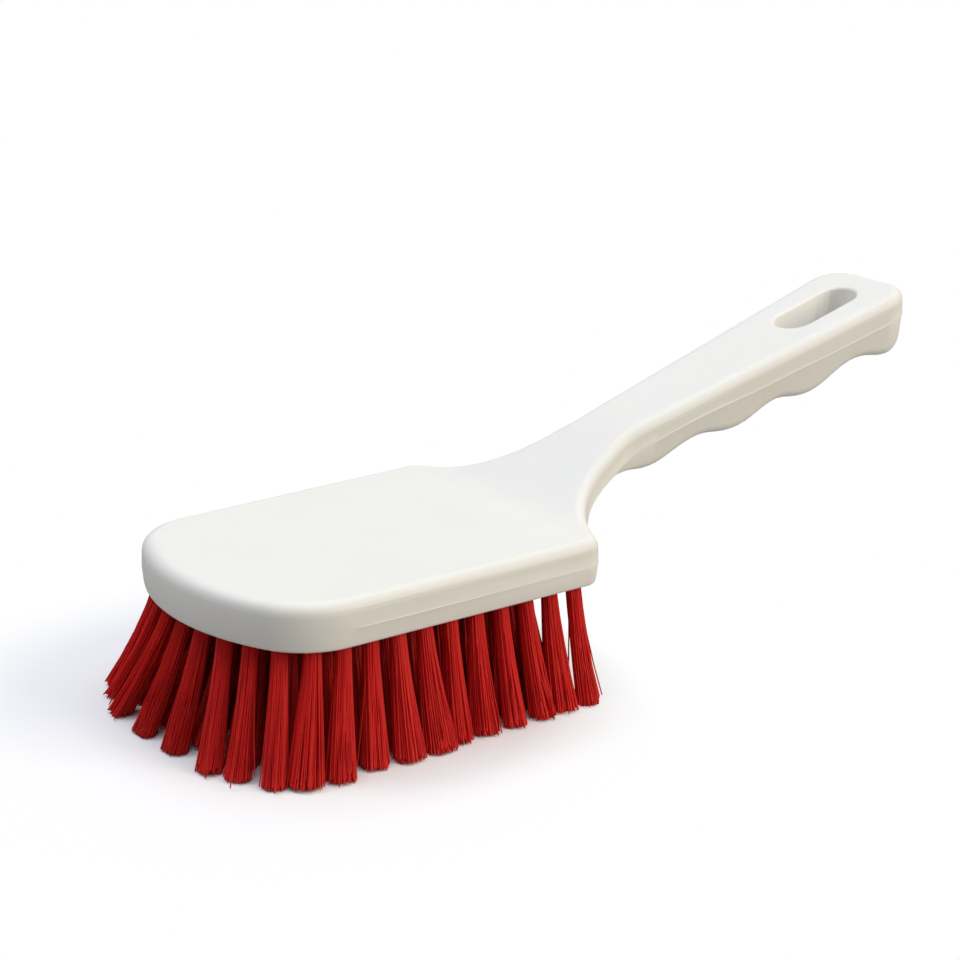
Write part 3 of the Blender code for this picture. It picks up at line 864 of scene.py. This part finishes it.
def floor_material(settings):
    """White floor that keeps the brush's shadow, throws back less light than the camera sees, and
    fades into the white background all round."""
    material, tree, shader = new_material("studio_floor")
    seen = tree.number("ShaderNodeLightPath", output="Is Camera Ray")
    colour = tree.mix(seen, opaque(settings.floor_bounce), opaque(settings.floor))
    tree.feed(shader.inputs["Base Color"], colour)
    shader.inputs["Roughness"].default_value = 0.9
    shader.inputs["Specular IOR Level"].default_value = 0.0
    place = tree.node("ShaderNodeTexCoord").outputs["Object"]
    distance = tree.number("ShaderNodeVectorMath", {"operation": "DISTANCE"}, {
        0: place, 1: (TOE + settings.fade_middle, 0, 0)}, "Value")
    fade = tree.stretch(distance, settings.fade_start, settings.fade_end) * seen
    white = tree.node("ShaderNodeEmission", None, {"Color": WHITE, "Strength": 1.0})
    mixed = tree.node("ShaderNodeMixShader", None, {
        0: fade, 1: shader.outputs[0], 2: white.outputs[0]})
    tree.feed(material.node_tree.nodes["Material Output"].inputs["Surface"], mixed.outputs[0])
    return material


def hang_lamp(name, place, size, power, colour):
    """Hang a square soft lamp that faces the brush."""
    data = bpy.data.lights.new(name, "AREA")
    data.shape = "SQUARE"
    data.size = size
    data.energy = power
    data.color = colour
    lamp = linked(name, data)
    lamp.location = place
    way = Vector(LAMP_TARGET) - Vector(place)
    lamp.rotation_euler = way.to_track_quat("-Z", "Y").to_euler()


class HANDBRUSH_OT_stage(bpy.types.Operator):
    """Lay a pale floor, hang soft lamps and set up the camera at the photograph's angle"""

    bl_idname = "hand_brush.stage"
    bl_label = "Studio"

    def execute(self, context):
        settings = context.scene.hand_brush_stage
        self.lay_floor(settings)
        self.hang_lamps(settings)
        self.light_world(settings)
        self.place_camera(settings)
        context.scene.view_settings.view_transform = "Standard"
        return {"FINISHED"}

    def lay_floor(self, settings):
        mesh = bmesh.new()
        bmesh.ops.create_grid(mesh, x_segments=1, y_segments=1, size=FLOOR_REACH)
        data = bpy.data.meshes.new("studio_floor")
        mesh.to_mesh(data)
        mesh.free()
        floor = linked("studio_floor", data)
        data.materials.append(floor_material(settings))

    def hang_lamps(self, settings):
        hang_lamp("overhead_softbox", place=(-0.02, 0.20, 1.40), size=1.6,
                  power=settings.overhead, colour=(0.83, 0.895, 1.0))
        hang_lamp("key_softbox", place=(1.45, -2.30, 1.45), size=1.8,
                  power=settings.key, colour=(1.0, 0.88, 0.66))
        hang_lamp("back_softbox", place=(-0.50, 0.60, 1.05), size=0.35,
                  power=settings.back, colour=(0.93, 0.96, 1.0))

    def light_world(self, settings):
        world = bpy.data.worlds.new("studio")
        bpy.context.scene.world = world
        world.use_nodes = True
        world.node_tree.nodes.clear()
        tree = Tree(world.node_tree)
        path = tree.node("ShaderNodeLightPath")
        lit = tree.node("ShaderNodeBackground", None, {"Color": WHITE, "Strength": settings.world})
        shown = tree.node("ShaderNodeBackground", None, {"Color": WHITE, "Strength": 1.0})
        mixed = tree.node("ShaderNodeMixShader", None, {
            0: path.outputs["Is Camera Ray"], 1: lit.outputs[0], 2: shown.outputs[0]})
        tree.node("ShaderNodeOutputWorld", None, {"Surface": mixed.outputs[0]})

    def place_camera(self, settings):
        look = Vector(CAMERA_LOOK).normalized()
        level = look.cross(Vector((0, 0, 1))).normalized()
        upright = level.cross(look)
        roll = math.radians(CAMERA_ROLL)
        right = level * math.cos(roll) + upright * math.sin(roll)
        up = upright * math.cos(roll) - level * math.sin(roll)
        data = bpy.data.cameras.new("camera")
        data.sensor_width = 36
        data.lens = settings.lens
        data.clip_start = 0.02
        camera = linked("camera", data)
        turned = Matrix((right, up, -look)).transposed().to_4x4()
        turned.translation = (TOE + CAMERA_PLACE[0], *CAMERA_PLACE[1:])
        camera.matrix_world = turned
        bpy.context.scene.camera = camera


# Panel and registration

class HANDBRUSH_PT_panel(bpy.types.Panel):
    """Sizes, colours and steps of the hand brush"""

    bl_label = "Hand brush"
    bl_idname = "HANDBRUSH_PT_panel"
    bl_space_type = "VIEW_3D"
    bl_region_type = "UI"
    bl_category = "Hand brush"

    def draw(self, context):
        for pointer in POINTERS:
            box = self.layout.box()
            settings = getattr(context.scene, pointer)
            for name in settings.__annotations__:
                box.prop(settings, name)
        for operator in OPERATORS:
            self.layout.operator(operator.bl_idname)


POINTERS = {
    "hand_brush_back": BackSettings,
    "hand_brush_bristles": BristleSettings,
    "hand_brush_stage": StageSettings,
}
OPERATORS = (HANDBRUSH_OT_back, HANDBRUSH_OT_outer_tufts, HANDBRUSH_OT_second_tufts,
             HANDBRUSH_OT_inner_tufts, HANDBRUSH_OT_stage)
CLASSES = (*POINTERS.values(), *OPERATORS, HANDBRUSH_PT_panel)


def register():
    for kind in CLASSES:
        bpy.utils.register_class(kind)
    for pointer, kind in POINTERS.items():
        setattr(bpy.types.Scene, pointer, PointerProperty(type=kind))


def unregister():
    for pointer in POINTERS:
        delattr(bpy.types.Scene, pointer)
    for kind in reversed(CLASSES):
        bpy.utils.unregister_class(kind)


def main():
    register()
    bpy.ops.hand_brush.back()
    bpy.ops.hand_brush.outer_tufts()
    bpy.ops.hand_brush.second_tufts()
    bpy.ops.hand_brush.inner_tufts()
    bpy.ops.hand_brush.stage()


if __name__ == "__main__":
    main()
